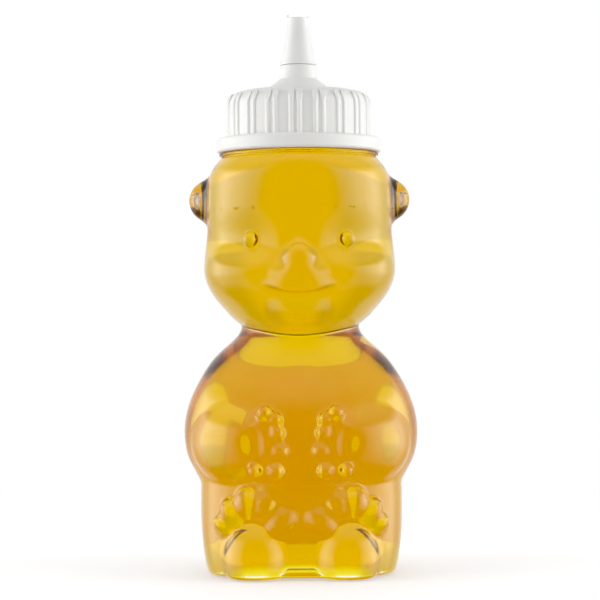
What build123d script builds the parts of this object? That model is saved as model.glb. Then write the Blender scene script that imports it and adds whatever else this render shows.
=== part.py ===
# A bear-shaped squeeze bottle of honey with a screw cap, a pouring spout and a push-on tip.
# Millimetres. +Z is up, the bear faces -Y, and the origin is on the table under the neck's axis.
from build123d import *
import os
from math import cos, sin, pi, radians

# Driving sizes of the bottle
wall = 1.0
floor_wall = 1.3
half_depth = 25.4
honey_gap = 0.15
cut_overrun = 1.0

# The block that the bear sits on, its standing pads and the hollow under it
foot_rounding = 1.0
pad_height = 0.35
pad_radius = 2.6
pad_offset_x = 14.0
pad_offset_y = 15.2
block_half_width = 27.6
block_front = 20.8
block_back = 24.6
block_height = 30.0
push_up_half_width = 17.0
push_up_half_depth = 12.0
push_up_depth = 1.8

# The trunk with the upper arms, up to the throat
trunk_bottom = 23.0
trunk_height = 48.0
trunk_half_width = 32.05
trunk_front = 22.4
trunk_back = half_depth

# The belly that hangs between the paws and the feet
belly_height = 33.5
belly_offset = 12.6
belly_half_width = 17.0
belly_depth = 11.3
belly_half_height = 22.5

# The head
head_bottom = 64.4
head_height = 49.7
head_half_width = 26.3
head_front = 22.8
head_back = 24.0

# The face
eye_radius = 1.9
eye_offset_x = 12.6
eye_offset_y = 20.0
eye_height = 91.0
nose_half_width = 3.2
nose_depth = 2.6
nose_half_height = 2.1
nose_height = 86.4
bridge_half_width = 4.6
bridge_depth = 4.0
bridge_half_height = 6.0
bridge_height = 86.2
jowl_half_width = 6.6
jowl_depth = 5.2
jowl_half_height = 5.4
jowl_offset_x = 5.0
jowl_offset_y = 19.4
jowl_height = 81.8
lip_half_width = 8.6
lip_depth = 4.6
lip_half_height = 3.6
lip_offset_y = 18.7
lip_height = 75.0
cheek_radius = 6.8
cheek_offset_x = 17.4
cheek_offset_y = 11.4
cheek_height = 80.4
ear_radius = 5.8
ear_half_depth = 4.4
ear_offset_x = 24.6
ear_offset_y = 0.8
ear_height = 102.2
ear_dish_radius = 4.6
ear_dish_depth = 1.2
ear_dish_shift = 1.2

# The arms, paws and feet
forearm_length = 11.6
forearm_thickness = 5.6
forearm_half_height = 9.3
forearm_offset_x = 18.6
forearm_offset_y = 16.0
forearm_height = 35.2
forearm_turn = 30.0
paw_half_width = 5.2
paw_depth = 3.7
paw_half_height = 9.4
paw_offset_x = 9.6
paw_offset_y = 20.8
paw_height = 36.6
finger_radius = 2.2
sole_half_width = 8.5
sole_depth = 6.4
sole_half_height = 10.6
sole_offset_x = 12.3
sole_offset_y = 17.2
sole_height = 6.0
toe_radius = 2.9
toe_length = 4.2
toe_reach = 11.9
toe_fan_height = 8.9

# The label on the back
label_half_width = 14.0
label_bottom = 7.0
label_top = 50.5
label_corner = 2.5
label_thickness = 0.12
label_gap = 0.02

# The neck finish
bead_radius = 21.9
bead_height = 0.7
bead_level = 114.2
bead_rounding = 0.3
throat_radius = 20.7
neck_bore = 31.0
neck_wall = 1.7
neck_length = 14.4
lip_rounding = 0.4
thread_lead = 8.46
thread_starts = 2
thread_turns = 0.95
thread_depth = 1.1
thread_root = 1.7
thread_crest = 0.8
thread_rise = 3.6
fill_below_rim = 5.3

# The screw cap
cap_lift_gap = 0.3
cap_bore_radius = 18.75
cap_skirt_radius = 19.75
flange_radius = 22.75
flange_height = 4.0
flange_rounding = 0.9
flange_wall = 1.7
flange_hollow = 2.2
cap_roof = 1.45
dome_rise = 0.95
dome_drop = 5.8
roof_step_radius = 14.0
roof_hollow_radius = 12.2
roof_hollow_rise = 1.05
rib_pairs = 19
rib_radius = 0.8
rib_stand = 0.45
rib_half_step = 3.2
rib_phase = -92.05
cap_thread_depth = 1.05
cap_thread_turns = 0.7
thread_seat = 1.4

# The spout on the cap
flare_radius = 8.9
flare_height = 2.85
spout_base_radius = 5.3
spout_shoulder_radius = 4.75
spout_base_height = 3.75
spout_wall = 1.2
spout_inlet_radius = 6.9
nozzle_base_radius = 3.75
nozzle_tip_radius = 2.25
nozzle_length = 11.1
nozzle_wall = 0.9
nozzle_rounding = 0.3

# The liner ring under the cap's roof
liner_thickness = 0.9
liner_bore = 28.8
liner_clearance = 0.3
liner_top_gap = 0.05

# The push-on tip
tip_clearance = 0.1
tip_wall = 0.8
tip_rim_radius = 5.1
tip_rim_height = 0.65
tip_rim_rounding = 0.22
tip_neck_radius = 3.15
tip_neck_length = 3.5
tip_roof = 0.9
tip_collar_height = 1.0
tip_collar_wall = 0.55
burr_width = 0.8
burr_height = 0.9
burr_thickness = 0.4
burr_set_back = 0.05
burr_angle = 196.0
small_burr_share = 0.4
small_burr_angle = -20.0

# Levels that follow from the sizes above
shoulder_level = bead_level + bead_height
rim_level = shoulder_level + neck_length
neck_radius = neck_bore / 2 + neck_wall
cap_bottom = shoulder_level + cap_lift_gap
liner_seat = rim_level + liner_thickness + liner_top_gap
dome_top = liner_seat + cap_roof + dome_rise
spout_base = dome_top + flare_height
spout_shoulder = spout_base + spout_base_height
nozzle_top = spout_shoulder + nozzle_length
fill_level = rim_level - fill_below_rim
tip_bottom = spout_shoulder + tip_clearance
tip_roof_level = nozzle_top + tip_clearance
tip_top = tip_roof_level + tip_roof + tip_collar_height

SECTION_POINTS = 24
FULL_TURN = 360.0

# Rows of height, width, front and back, each as a share of the form's own size, and a squareness
block_shares = [
    (0.0, 0.925, 0.955, 0.955, 3.2),
    (0.09, 0.953, 0.970, 0.970, 3.2),
    (0.20, 0.972, 0.985, 0.985, 3.2),
    (0.33, 0.988, 1.0, 1.0, 3.1),
    (0.50, 0.998, 1.0, 1.0, 3.0),
    (0.67, 1.0, 1.0, 1.0, 2.9),
    (0.84, 0.995, 0.99, 1.0, 2.8),
    (1.0, 0.97, 0.96, 0.99, 2.7),
]
trunk_shares = [
    (0.0, 0.74, 0.76, 0.945, 2.5),
    (0.050, 0.853, 0.90, 0.970, 2.5),
    (0.104, 0.908, 0.955, 0.982, 2.5),
    (0.167, 0.957, 0.985, 0.991, 2.45),
    (0.25, 0.992, 1.0, 0.998, 2.4),
    (0.344, 1.0, 1.0, 1.0, 2.35),
    (0.438, 0.981, 0.985, 0.988, 2.3),
    (0.542, 0.928, 0.950, 0.950, 2.3),
    (0.646, 0.846, 0.900, 0.888, 2.25),
    (0.744, 0.744, 0.830, 0.812, 2.2),
    (0.813, 0.638, 0.760, 0.735, 2.15),
    (0.875, 0.538, 0.685, 0.658, 2.1),
    (0.927, 0.502, 0.655, 0.628, 2.05),
    (1.0, 0.496, 0.645, 0.620, 2.0),
]
head_shares = [
    (0.0, 0.36, 0.56, 0.36, 2.1),
    (0.038, 0.50, 0.74, 0.51, 2.1),
    (0.084, 0.645, 0.850, 0.69, 2.15),
    (0.149, 0.775, 0.920, 0.80, 2.2),
    (0.223, 0.890, 0.965, 0.885, 2.25),
    (0.314, 0.977, 0.995, 0.950, 2.3),
    (0.404, 1.0, 0.995, 0.985, 2.3),
    (0.495, 0.984, 0.965, 1.0, 2.3),
    (0.60, 0.966, 0.965, 1.0, 2.3),
    (0.70, 0.965, 0.985, 1.0, 2.25),
    (0.797, 0.962, 1.0, 0.995, 2.2),
    (0.887, 0.940, 0.990, 0.970, 2.15),
    (0.948, 0.886, 0.970, 0.935, 2.05),
    (0.984, 0.830, 0.940, 0.895, 2.0),
    (1.0, 0.802, 0.926, 0.879, 2.0),
]

# The dome's line from the skirt to the spout: radius as a share of the skirt's, and drop of dome_drop
dome_shares = [(1.0, 1.0), (0.988, 0.62), (0.94, 0.31), (0.83, 0.13), (0.615, 0.025)]
# Finger bumps round each paw: shares of the paw's half width and half height, and of a finger's radius
finger_shares = [
    (0.02, 0.89, 0.90),
    (0.57, 0.70, 0.80),
    (0.68, 0.31, 0.90),
    (0.80, -0.19, 1.08),
    (0.57, -0.75, 0.98),
    (-0.50, -0.74, 0.76),
]
# Toes in a fan over each sole: the angle from straight up towards the midline, the reach and the size
toe_shares = [
    (-54.0, 0.88, 0.74),
    (-34.0, 0.96, 0.88),
    (-10.0, 1.02, 0.98),
    (14.0, 0.98, 1.0),
    (45.0, 0.86, 1.22),
]


def section(level, half_width, front, back, squareness):
    """A closed level curve, rounder or squarer, with its own depth to the front and to the back."""
    points = []
    for k in range(SECTION_POINTS):
        angle = pi / 2 + 2 * pi * k / SECTION_POINTS
        reach = (abs(cos(angle)) ** squareness + abs(sin(angle)) ** squareness) ** (-1 / squareness)
        depth = back if sin(angle) > 0 else front
        points.append(Vector(half_width * reach * cos(angle), depth * reach * sin(angle), level))
    steps = [k / SECTION_POINTS for k in range(SECTION_POINTS + 1)]
    return Face(Wire([Edge.make_spline(points, periodic=True, parameters=steps)]))


def lofted(shares, bottom, height, half_width, front, back, inset, foot_inset):
    """A smooth form through the rows of shares, drawn in by inset, and by foot_inset from below."""
    levels = [bottom + foot_inset + (height - foot_inset) * row[0] for row in shares]
    rings = [
        section(
            level,
            half_width * row[1] - inset,
            front * row[2] - inset,
            back * row[3] - inset,
            row[4],
        )
        for level, row in zip(levels, shares)
    ]
    return loft(rings)


def ball(radius):
    """A ball with its poles to the front and the back, where no bump meets its neighbour."""
    return Rot(90, 0, 0) * Sphere(radius)


def ellipsoid(half_width, half_depth_y, half_height, inset, place, turn=0.0, lean=0.0):
    """An ellipsoid drawn in by inset, leant over about Y, turned about +Z and set at place."""
    radii = (half_width - inset, half_depth_y - inset, half_height - inset)
    return Pos(*place) * Rot(0, lean, turn) * scale(ball(1), by=radii)


def paired(make):
    """The same thing on the bear's two sides, where make takes -1 or 1."""
    return [make(side) for side in (-1, 1)]


def block_form(inset, foot_inset):
    return lofted(
        block_shares, pad_height, block_height - pad_height,
        block_half_width, block_front, block_back, inset, foot_inset,
    )


def block_face(x):
    """How far the block's front stands out at a distance x from the midline."""
    squareness = block_shares[3][4]
    return block_front * (1 - abs(x / block_half_width) ** squareness) ** (1 / squareness)


def trunk_form(inset):
    return lofted(
        trunk_shares, trunk_bottom, trunk_height,
        trunk_half_width, trunk_front, trunk_back, inset, inset,
    )


def head_form(inset):
    return lofted(
        head_shares, head_bottom, head_height,
        head_half_width, head_front, head_back, inset, inset,
    )


def muzzle_forms(inset):
    nose_y = nose_depth - half_depth
    forms = [
        ellipsoid(nose_half_width, nose_depth, nose_half_height, inset, (0, nose_y, nose_height)),
        ellipsoid(
            bridge_half_width, bridge_depth, bridge_half_height, inset,
            (0, -jowl_offset_y, bridge_height),
        ),
        ellipsoid(lip_half_width, lip_depth, lip_half_height, inset, (0, -lip_offset_y, lip_height)),
    ]
    forms += paired(
        lambda side: ellipsoid(
            jowl_half_width, jowl_depth, jowl_half_height, inset,
            (side * jowl_offset_x, -jowl_offset_y, jowl_height),
        )
    )
    return forms


def cheek_form(side, inset):
    place = (side * cheek_offset_x, -cheek_offset_y, cheek_height)
    return Pos(*place) * ball(cheek_radius - inset)


def eye_form(side, inset):
    return Pos(side * eye_offset_x, -eye_offset_y, eye_height) * ball(eye_radius - inset)


def ear_form(side, inset):
    """A round ear with a shallow dish in its front."""
    place = (side * ear_offset_x, ear_offset_y, ear_height)
    ear = ellipsoid(ear_radius, ear_half_depth, ear_radius, inset, place)
    curve = (ear_dish_radius**2 + ear_dish_depth**2) / (2 * ear_dish_depth)
    dish_y = ear_offset_y - ear_half_depth - curve + ear_dish_depth
    dish = Pos(side * (ear_offset_x + ear_dish_shift), dish_y, ear_height) * ball(curve + inset)
    return ear - dish


def arm_form(side, inset):
    place = (side * forearm_offset_x, -forearm_offset_y, forearm_height)
    return ellipsoid(
        forearm_length, forearm_thickness, forearm_half_height, inset, place, side * forearm_turn
    )


def paw_form(side, inset):
    place = (side * paw_offset_x, -paw_offset_y, paw_height)
    return ellipsoid(paw_half_width, paw_depth, paw_half_height, inset, place)


def finger_forms(side, inset):
    """Bumps that curl round the paw's inner edge, from the top one down to the outermost."""
    forms = []
    for across, up, size in finger_shares:
        x = side * (paw_offset_x - across * paw_half_width)
        z = paw_height + up * paw_half_height
        y = -(half_depth - finger_radius * size)
        forms.append(Pos(x, y, z) * ball(finger_radius * size - inset))
    return forms


def sole_form(side, inset, foot_inset):
    """A tall oval that ends at the block's foot."""
    place = (side * sole_offset_x, -sole_offset_y, sole_height)
    sole = ellipsoid(sole_half_width, sole_depth, sole_half_height, inset, place)
    return split(sole, Plane.XY.offset(pad_height + foot_inset), keep=Keep.TOP)


def toe_forms(side, inset):
    """Toes in a fan above the sole, seated on the block's front, the big one nearest the midline."""
    forms = []
    for angle, reach, size in toe_shares:
        x = side * (sole_offset_x - toe_reach * reach * sin(radians(angle)))
        z = toe_fan_height + toe_reach * reach * cos(radians(angle))
        width = toe_radius * size - inset
        place = (x, -block_face(x), z)
        forms.append(ellipsoid(width, width, toe_length * size - inset, 0, place, 0.0, -side * angle))
    return forms


def belly_form(inset):
    place = (0, -belly_offset, belly_height)
    return ellipsoid(belly_half_width, belly_depth, belly_half_height, inset, place)


def big_forms(inset, block):
    """The block joined to the trunk, the head and the belly."""
    return block.fuse(trunk_form(inset)).fuse(head_form(inset)).fuse(belly_form(inset))


def limb_forms(inset, foot_inset):
    """The face, ears, arms and feet, which the wall follows."""
    forms = muzzle_forms(inset)
    for side in (-1, 1):
        forms += [
            cheek_form(side, inset),
            ear_form(side, inset),
            arm_form(side, inset),
            paw_form(side, inset),
            sole_form(side, inset, foot_inset),
        ]
    return forms


def small_forms():
    """Bumps too small for the wall to follow, which are solid."""
    forms = []
    for side in (-1, 1):
        forms += [eye_form(side, 0)] + finger_forms(side, 0) + toe_forms(side, 0)
    return forms


def push_up(grow):
    """The shallow hollow under the base, grown by grow for the floor above it."""
    squareness = block_shares[0][4]
    width = push_up_half_width + grow
    depth = push_up_half_depth + grow
    top = pad_height + push_up_depth + grow
    shrink = push_up_depth + push_up_depth
    start = section(pad_height - cut_overrun, width, depth, depth, squareness)
    end = section(top, width - shrink, depth - shrink, depth - shrink, squareness)
    return loft([start, end])


def pads():
    """Four low pads that the bottle stands on."""
    places = [(x, y) for x in (-pad_offset_x, pad_offset_x) for y in (-pad_offset_y, pad_offset_y)]
    height = pad_height + floor_wall / 2
    return [Pos(x, y, height / 2) * Cylinder(pad_radius, height) for x, y in places]


def tube(outer, inner, bottom, top):
    return Pos(0, 0, (bottom + top) / 2) * (
        Cylinder(outer, top - bottom) - Cylinder(inner, top - bottom + 2 * cut_overrun)
    )


def rod(radius, bottom, top):
    return Pos(0, 0, (bottom + top) / 2) * Cylinder(radius, top - bottom)


def revolved(outline):
    """A turned solid from points of radius and level, given in order."""
    return revolve(Plane.XZ * make_face(Polyline(*outline, close=True)), Axis.Z)


def thread(radius, outward, depth, turns, start_level, phase):
    """One start of a screw thread: a ridge that stands out of, or into, a wall of that radius."""
    height = thread_lead * turns
    helix = Helix(thread_lead, height, radius)
    root = -outward * thread_depth / 4
    crest = outward * depth
    ridge_points = [
        (radius + root, -thread_root / 2),
        (radius + crest, -thread_crest / 2),
        (radius + crest, thread_crest / 2),
        (radius + root, thread_root / 2),
    ]
    ridge = Plane.XZ * make_face(Polyline(*ridge_points, close=True))
    coil = sweep(ridge, path=helix, is_frenet=True)
    return Pos(0, 0, start_level) * Rot(0, 0, phase) * coil


def neck():
    """The threaded neck with its bead, open all the way down into the head."""
    wall_tube = rod(neck_radius, bead_level - cut_overrun, rim_level)
    wall_tube = fillet(wall_tube.edges().group_by(Axis.Z)[-1], lip_rounding)
    bead = rod(bead_radius, bead_level, shoulder_level)
    bead = fillet(bead.edges().group_by(Axis.Z)[0], bead_rounding)
    throat = rod(throat_radius, bead_level - bead_height, shoulder_level)
    threads = [
        thread(
            neck_radius, 1, thread_depth, thread_turns,
            shoulder_level + thread_rise, start * FULL_TURN / thread_starts,
        )
        for start in range(thread_starts)
    ]
    return wall_tube.fuse(bead, throat, *threads)


def cavity(inset, foot_inset, top):
    """The room inside the bottle up to a level in the neck, drawn in by inset from the outside."""
    bore = rod(neck_bore / 2 - (inset - wall), bead_level - 3 * bead_height, top)
    room = big_forms(inset, block_form(inset, foot_inset))
    return room.fuse(*limb_forms(inset, foot_inset), bore) - push_up(foot_inset)


def bottle():
    """One hollow moulding: the bear, its neck and its pads."""
    block = block_form(0, 0)
    block = fillet(block.edges().group_by(Axis.Z)[0], foot_rounding)
    outside = big_forms(0, block).fuse(*limb_forms(0, 0), *small_forms(), neck(), *pads())
    return outside - push_up(0) - cavity(wall, floor_wall, rim_level + cut_overrun)


def honey():
    """The honey, which fills the bottle to below the rim."""
    return cavity(wall + honey_gap, floor_wall + honey_gap, fill_level)


def back_label():
    """A blank paper label that follows the curve of the back."""
    outer = -(label_gap + label_thickness)
    inner = -label_gap
    skin = block_form(outer, 0).fuse(trunk_form(outer)) - block_form(inner, 0).fuse(trunk_form(inner))
    middle = (label_bottom + label_top) / 2
    window = RectangleRounded(2 * label_half_width, label_top - label_bottom, label_corner)
    prism = Pos(0, half_depth + cut_overrun, middle) * Rot(90, 0, 0) * extrude(window, half_depth)
    return skin & prism


def cap_liner():
    """The ring gasket that lies on the rim and rises with the cap."""
    outer = cap_bore_radius - liner_clearance
    return tube(outer, liner_bore / 2, rim_level, rim_level + liner_thickness)


def dome_points(stand):
    """The dome's line from the skirt inwards, standing out by stand."""
    return [
        (cap_skirt_radius * share + stand, dome_top - dome_drop * drop_share)
        for share, drop_share in dome_shares
    ]


def half_section(lines, corners, rounding):
    """A turned solid from joined lines, with the named corners of its outline rounded."""
    face = make_face(lines)
    if corners:
        places = [Vector(*corner) for corner in corners]
        near = [v for v in face.vertices() if min(abs(Vector(v) - place) for place in places) < rounding]
        face = fillet(near, rounding)
    return revolve(Plane.XZ * face, Axis.Z)


def cap_outside():
    """The cap's outside, from the flange over the skirt and the low dome to the nozzle's tip."""
    flange_top = cap_bottom + flange_height
    dome = dome_points(0)
    corners = [(flange_radius, cap_bottom), (flange_radius, flange_top)]
    lines = [
        Polyline((0, cap_bottom), corners[0], corners[1], (cap_skirt_radius, flange_top), dome[0]),
        Spline(*dome, (flare_radius, dome_top), tangents=[(0, 1), (-1, 0)]),
        Polyline(
            (flare_radius, dome_top),
            (spout_base_radius, spout_base),
            (spout_shoulder_radius, spout_shoulder),
            (nozzle_base_radius, spout_shoulder),
            (nozzle_tip_radius, nozzle_top),
            (0, nozzle_top),
            (0, cap_bottom),
        ),
    ]
    return half_section(lines, corners, flange_rounding)


def cap_bore():
    """What is cut out of the cap: the hollow flange, the threaded bore and the way through the spout."""
    hollow = flange_radius - flange_wall
    step = hollow - cap_bore_radius
    spout_bore = spout_shoulder_radius - spout_wall
    return revolved(
        [
            (0, cap_bottom - cut_overrun),
            (hollow, cap_bottom - cut_overrun),
            (hollow, cap_bottom + flange_hollow - step / 2),
            (cap_bore_radius, cap_bottom + flange_hollow),
            (cap_bore_radius, liner_seat),
            (roof_step_radius, liner_seat),
            (roof_hollow_radius, liner_seat + roof_hollow_rise),
            (spout_inlet_radius, liner_seat + roof_hollow_rise),
            (spout_base_radius - spout_wall, spout_base),
            (spout_bore, spout_shoulder - spout_wall),
            (nozzle_base_radius - nozzle_wall, spout_shoulder),
            (nozzle_tip_radius - nozzle_wall, nozzle_top),
            (nozzle_tip_radius - nozzle_wall, nozzle_top + cut_overrun),
            (0, nozzle_top + cut_overrun),
        ]
    )


def ribs():
    """Pairs of upright ribs round the skirt, which fade out over the edge of the dome."""
    foot = cap_bottom + flange_height / 2
    dome = dome_points(rib_stand)
    envelope = half_section(
        [
            Polyline(dome[-1], (0, dome[-1][1]), (0, foot), (dome[0][0], foot), dome[0]),
            Spline(*dome),
        ],
        [],
        0,
    )
    height = dome_top - foot
    reach = cap_skirt_radius + rib_stand - rib_radius
    upright = Pos(reach, 0, foot + height / 2) * Cylinder(rib_radius, height)
    rib = upright & envelope
    step = FULL_TURN / rib_pairs
    middles = [rib_phase + step * k for k in range(rib_pairs)]
    angles = [middle + shift for middle in middles for shift in (-rib_half_step, rib_half_step)]
    return [Rot(0, 0, angle) * rib for angle in angles]


def screw_cap():
    """The ribbed cap with its pouring spout, drilled through to the nozzle's tip."""
    cap = cap_outside().fuse(*ribs()) - cap_bore()
    threads = [
        thread(
            cap_bore_radius, -1, cap_thread_depth, cap_thread_turns,
            shoulder_level + thread_rise - thread_seat, start * FULL_TURN / thread_starts,
        )
        for start in range(thread_starts)
    ]
    return cap.fuse(*threads)


def burr(angle, size):
    """A torn sliver of plastic left standing on the tip's rim."""
    height = burr_height * size + tip_collar_height / 2
    reach = tip_neck_radius - burr_thickness / 2 - burr_set_back
    middle = tip_top + burr_height * size - height / 2
    return Rot(0, 0, angle) * Pos(reach, 0, middle) * Box(burr_thickness, burr_width * size, height)


def tip_cap():
    """The push-on tip: a hollow cone with a beaded rim, a closed top and a thin collar above it."""
    cone_top = tip_top - tip_neck_length
    bead_top = tip_bottom + tip_rim_height
    base_bore = nozzle_base_radius + tip_clearance
    top_bore = nozzle_tip_radius + tip_clearance
    collar_bore = tip_neck_radius - tip_collar_wall
    collar_floor = tip_top - tip_collar_height
    bead_corners = [(tip_rim_radius, tip_bottom), (tip_rim_radius, bead_top)]
    outline = Polyline(
        (0, tip_bottom),
        *bead_corners,
        (base_bore + tip_wall, bead_top),
        (tip_neck_radius, cone_top),
        (tip_neck_radius, tip_top),
        (0, tip_top),
        close=True,
    )
    body = half_section([outline], bead_corners, tip_rim_rounding)
    socket = revolved(
        [
            (0, tip_bottom - cut_overrun),
            (base_bore, tip_bottom - cut_overrun),
            (base_bore, tip_bottom),
            (top_bore, tip_roof_level),
            (0, tip_roof_level),
        ]
    )
    collar = rod(collar_bore, collar_floor, tip_top + cut_overrun)
    tip = body - socket - collar
    return tip.fuse(burr(burr_angle, 1), burr(small_burr_angle, small_burr_share))


def main():
    os.makedirs("parts", exist_ok=True)
    nodes = {
        "bottle": bottle(),
        "honey": honey(),
        "back_label": back_label(),
        "cap_liner": cap_liner(),
        "screw_cap": screw_cap(),
        "tip_cap": tip_cap(),
    }
    for name, solid in nodes.items():
        export_step(solid, f"parts/{name}.step")
        count = len(solid.solids())
        print(name, "volume", round(solid.volume, 1), "valid", solid.is_valid, "solids", count)


main()
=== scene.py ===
"""A honey bear bottle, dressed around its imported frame. Lengths are in millimetres until a mesh is made."""
import math

import bpy
import numpy as np
from mathutils import Matrix, Vector


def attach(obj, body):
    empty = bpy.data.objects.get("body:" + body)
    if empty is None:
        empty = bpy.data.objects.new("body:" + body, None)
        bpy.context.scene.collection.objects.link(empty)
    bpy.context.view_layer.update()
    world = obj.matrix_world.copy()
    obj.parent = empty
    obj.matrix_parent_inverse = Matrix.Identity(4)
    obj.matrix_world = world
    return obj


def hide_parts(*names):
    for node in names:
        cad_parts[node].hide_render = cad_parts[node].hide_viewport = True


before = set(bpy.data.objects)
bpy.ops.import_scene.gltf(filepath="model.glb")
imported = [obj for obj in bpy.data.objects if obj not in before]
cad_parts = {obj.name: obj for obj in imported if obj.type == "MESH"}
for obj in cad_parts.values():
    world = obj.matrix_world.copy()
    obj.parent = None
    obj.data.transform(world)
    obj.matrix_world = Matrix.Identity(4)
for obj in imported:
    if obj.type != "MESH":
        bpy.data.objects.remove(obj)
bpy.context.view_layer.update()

MM = 0.001
# How far round a form, or above and below a loft, its field counts, and the field where no form is near
FORM_MARGIN = 1.5
LOFT_MARGIN = 4
OUTSIDE = 50.0
LOFT_STEPS = 1200

# The bottle's sizes
PAD_HEIGHT = 0.35
WALL = 1.05
FLOOR_WALL = 1.35
HALF_DEPTH = 25.4
FOOT_ROUNDING = 1.0
FILL_LEVEL = 124.0
RIM_LEVEL = 129.3
SHOULDER_LEVEL = 114.9
NECK_RADIUS = 17.2
NECK_BORE_RADIUS = 15.5
BEAD_RADIUS = 21.9
BEAD_LEVEL = 114.2
THROAT_RADIUS = 20.7
THREAD_LEAD = 8.46
THREAD_TURNS = 0.95
THREAD_DEPTH = 1.1
THREAD_ROOT = 1.7
THREAD_CREST = 0.8
THREAD_RISE = 3.6
THREAD_STARTS = (0.0, 0.5)
THREAD_FADE = 0.03
NECK_EDGE = 0.45
BEAD_EDGE = 0.3
THROAT_EDGE = 0.2
THROAT_BLEND = 0.3
NECK_BLEND = 0.5
NECK_SINK = 2
BORE_SINK = 3
BORE_RISE = 4
BORE_EDGE = 0.3
BORE_BLEND = 1.5
LIP_ROUNDING = 0.25

# Rows of height, width, front and back as shares, and squareness
BLOCK_ROWS = [
    (0.0, 0.925, 0.955, 0.955, 3.2), (0.09, 0.953, 0.970, 0.970, 3.2), (0.20, 0.972, 0.985, 0.985, 3.2),
    (0.33, 0.988, 1.0, 1.0, 3.1), (0.50, 0.998, 1.0, 1.0, 3.0), (0.67, 1.0, 1.0, 1.0, 2.9),
    (0.84, 0.995, 0.99, 1.0, 2.8), (1.0, 0.97, 0.96, 0.99, 2.7),
]
TRUNK_ROWS = [
    (0.0, 0.74, 0.76, 0.945, 2.5), (0.050, 0.853, 0.90, 0.970, 2.5), (0.104, 0.908, 0.955, 0.982, 2.5),
    (0.167, 0.957, 0.985, 0.991, 2.45), (0.25, 0.992, 1.0, 0.998, 2.4), (0.344, 1.0, 1.0, 1.0, 2.35),
    (0.438, 0.981, 0.975, 0.988, 2.3), (0.542, 0.928, 0.915, 0.950, 2.3), (0.646, 0.846, 0.837, 0.888, 2.25),
    (0.744, 0.744, 0.757, 0.812, 2.2), (0.813, 0.638, 0.708, 0.735, 2.15), (0.875, 0.538, 0.680, 0.658, 2.1),
    (0.927, 0.502, 0.662, 0.628, 2.05), (1.0, 0.496, 0.645, 0.620, 2.0),
]
HEAD_ROWS = [
    (0.0, 0.36, 0.56, 0.36, 2.1), (0.038, 0.50, 0.74, 0.51, 2.1), (0.084, 0.645, 0.850, 0.69, 2.15),
    (0.149, 0.775, 0.920, 0.80, 2.2), (0.223, 0.890, 0.965, 0.885, 2.5), (0.314, 0.977, 0.995, 0.950, 2.8),
    (0.404, 1.0, 0.995, 0.985, 2.85), (0.495, 0.984, 0.965, 1.0, 2.5), (0.60, 0.966, 0.965, 1.0, 2.3),
    (0.70, 0.965, 0.985, 1.0, 2.25), (0.797, 0.962, 1.0, 0.995, 2.2), (0.887, 0.940, 0.998, 0.970, 2.15),
    (0.948, 0.886, 0.985, 0.935, 2.05), (0.984, 0.830, 0.955, 0.895, 2.0), (1.0, 0.802, 0.930, 0.879, 2.0),
]
BLOCK_HALF_WIDTH = 27.6
BLOCK_FRONT = 20.8
FACE_SQUARENESS = 3.1
BLOCK_BLEND = 1.2
TRUNK_BLEND = 1.2
HEAD_BLEND = 0.9
END_ROUNDING = 0.6
BLOCK = (BLOCK_ROWS, PAD_HEIGHT, 29.65, BLOCK_HALF_WIDTH, BLOCK_FRONT, 24.6)
TRUNK = (TRUNK_ROWS, 23.0, 48.0, 32.05, 22.4, 25.4)
HEAD = (HEAD_ROWS, 64.4, 49.7, 26.3, 22.8, 24.0)

# Rounded forms on the bear: centre, radii, lean about Y, turn about Z, blend width
BELLY = ((0, -12.6, 33.5), (17.0, 11.3, 22.5), 0, 0, 3.0)
CHIN = ((0, -18.2, 73.4), (8.2, 5.2, 5.6), 0, 0, 2.0)
NOSE = ((0, -23.35, 86.8), (3.3, 1.0, 2.3), 0, 0, 2.0)
# The muzzle's rows of height, half width, depth and squareness, and how far forward its axis is
MUZZLE_ROWS = [
    (0.0, 0.90, 0.93, 0.93, 2.0), (0.125, 0.97, 0.98, 0.98, 2.0), (0.25, 1.0, 1.0, 1.0, 1.95),
    (0.375, 0.98, 1.0, 1.0, 1.8), (0.5, 0.92, 0.995, 0.995, 1.65), (0.625, 0.72, 0.965, 0.965, 1.6),
    (0.75, 0.47, 0.89, 0.89, 1.7), (0.875, 0.31, 0.76, 0.76, 1.9), (1.0, 0.22, 0.60, 0.60, 2.0),
]
MUZZLE = (MUZZLE_ROWS, 74.5, 16.5, 11.8, 8.2, 8.2)
MUZZLE_FORWARD = 17.2
MUZZLE_BLEND = 1.2
# The muzzle's region: half width, back, bottom and top
MUZZLE_REGION = (15, -8, 68, 98)
# The mouth's level in the middle, its rise at its ends, how far they are out, its slope and its rounding
MOUTH_LINE = (76.8, 2.8, 11.0, 0.9, 1.0)
# The eyes' hollow: level, half height, depth, where it starts and is deepest, and what is left at the side
SOCKET = (90.6, 7.8, 2.7, 2.0, 13.0, 0.35)
SOCKET_BOTTOM = 0.07
SOCKET_BLEND = 0.4
SOCKET_FADE = 9.0
FOREARM = ((18.6, -16.0, 36.2), (11.6, 5.6, 10.4), 0, 30, 1.6)
PAW = ((9.6, -20.8, 36.6), (5.2, 3.7, 9.4), 0, 0, 1.6)
SOLE = ((12.3, -17.2, 6.0), (8.5, 6.4, 10.6), 0, 0, 1.4)
EAR = ((24.6, 0.8, 102.2), (5.8, 4.4, 5.8), 0, 0, 2.6)
# The ears are solid plastic outside their root: where that starts, how fast, and how much thicker the wall is
EAR_ROOT = 25.2
EAR_BOTTOM = 94.0
EAR_FADE = 2
EAR_FILLING = 3.5
EYE = ((12.95, -18.7, 91.0), (2.1, 2.1, 2.1), 0, 0, 0.5)
PALM = ((12.9, -26.0, 37.0), (3.6, 2.7, 7.6), 6, 0, 1.2)
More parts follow.
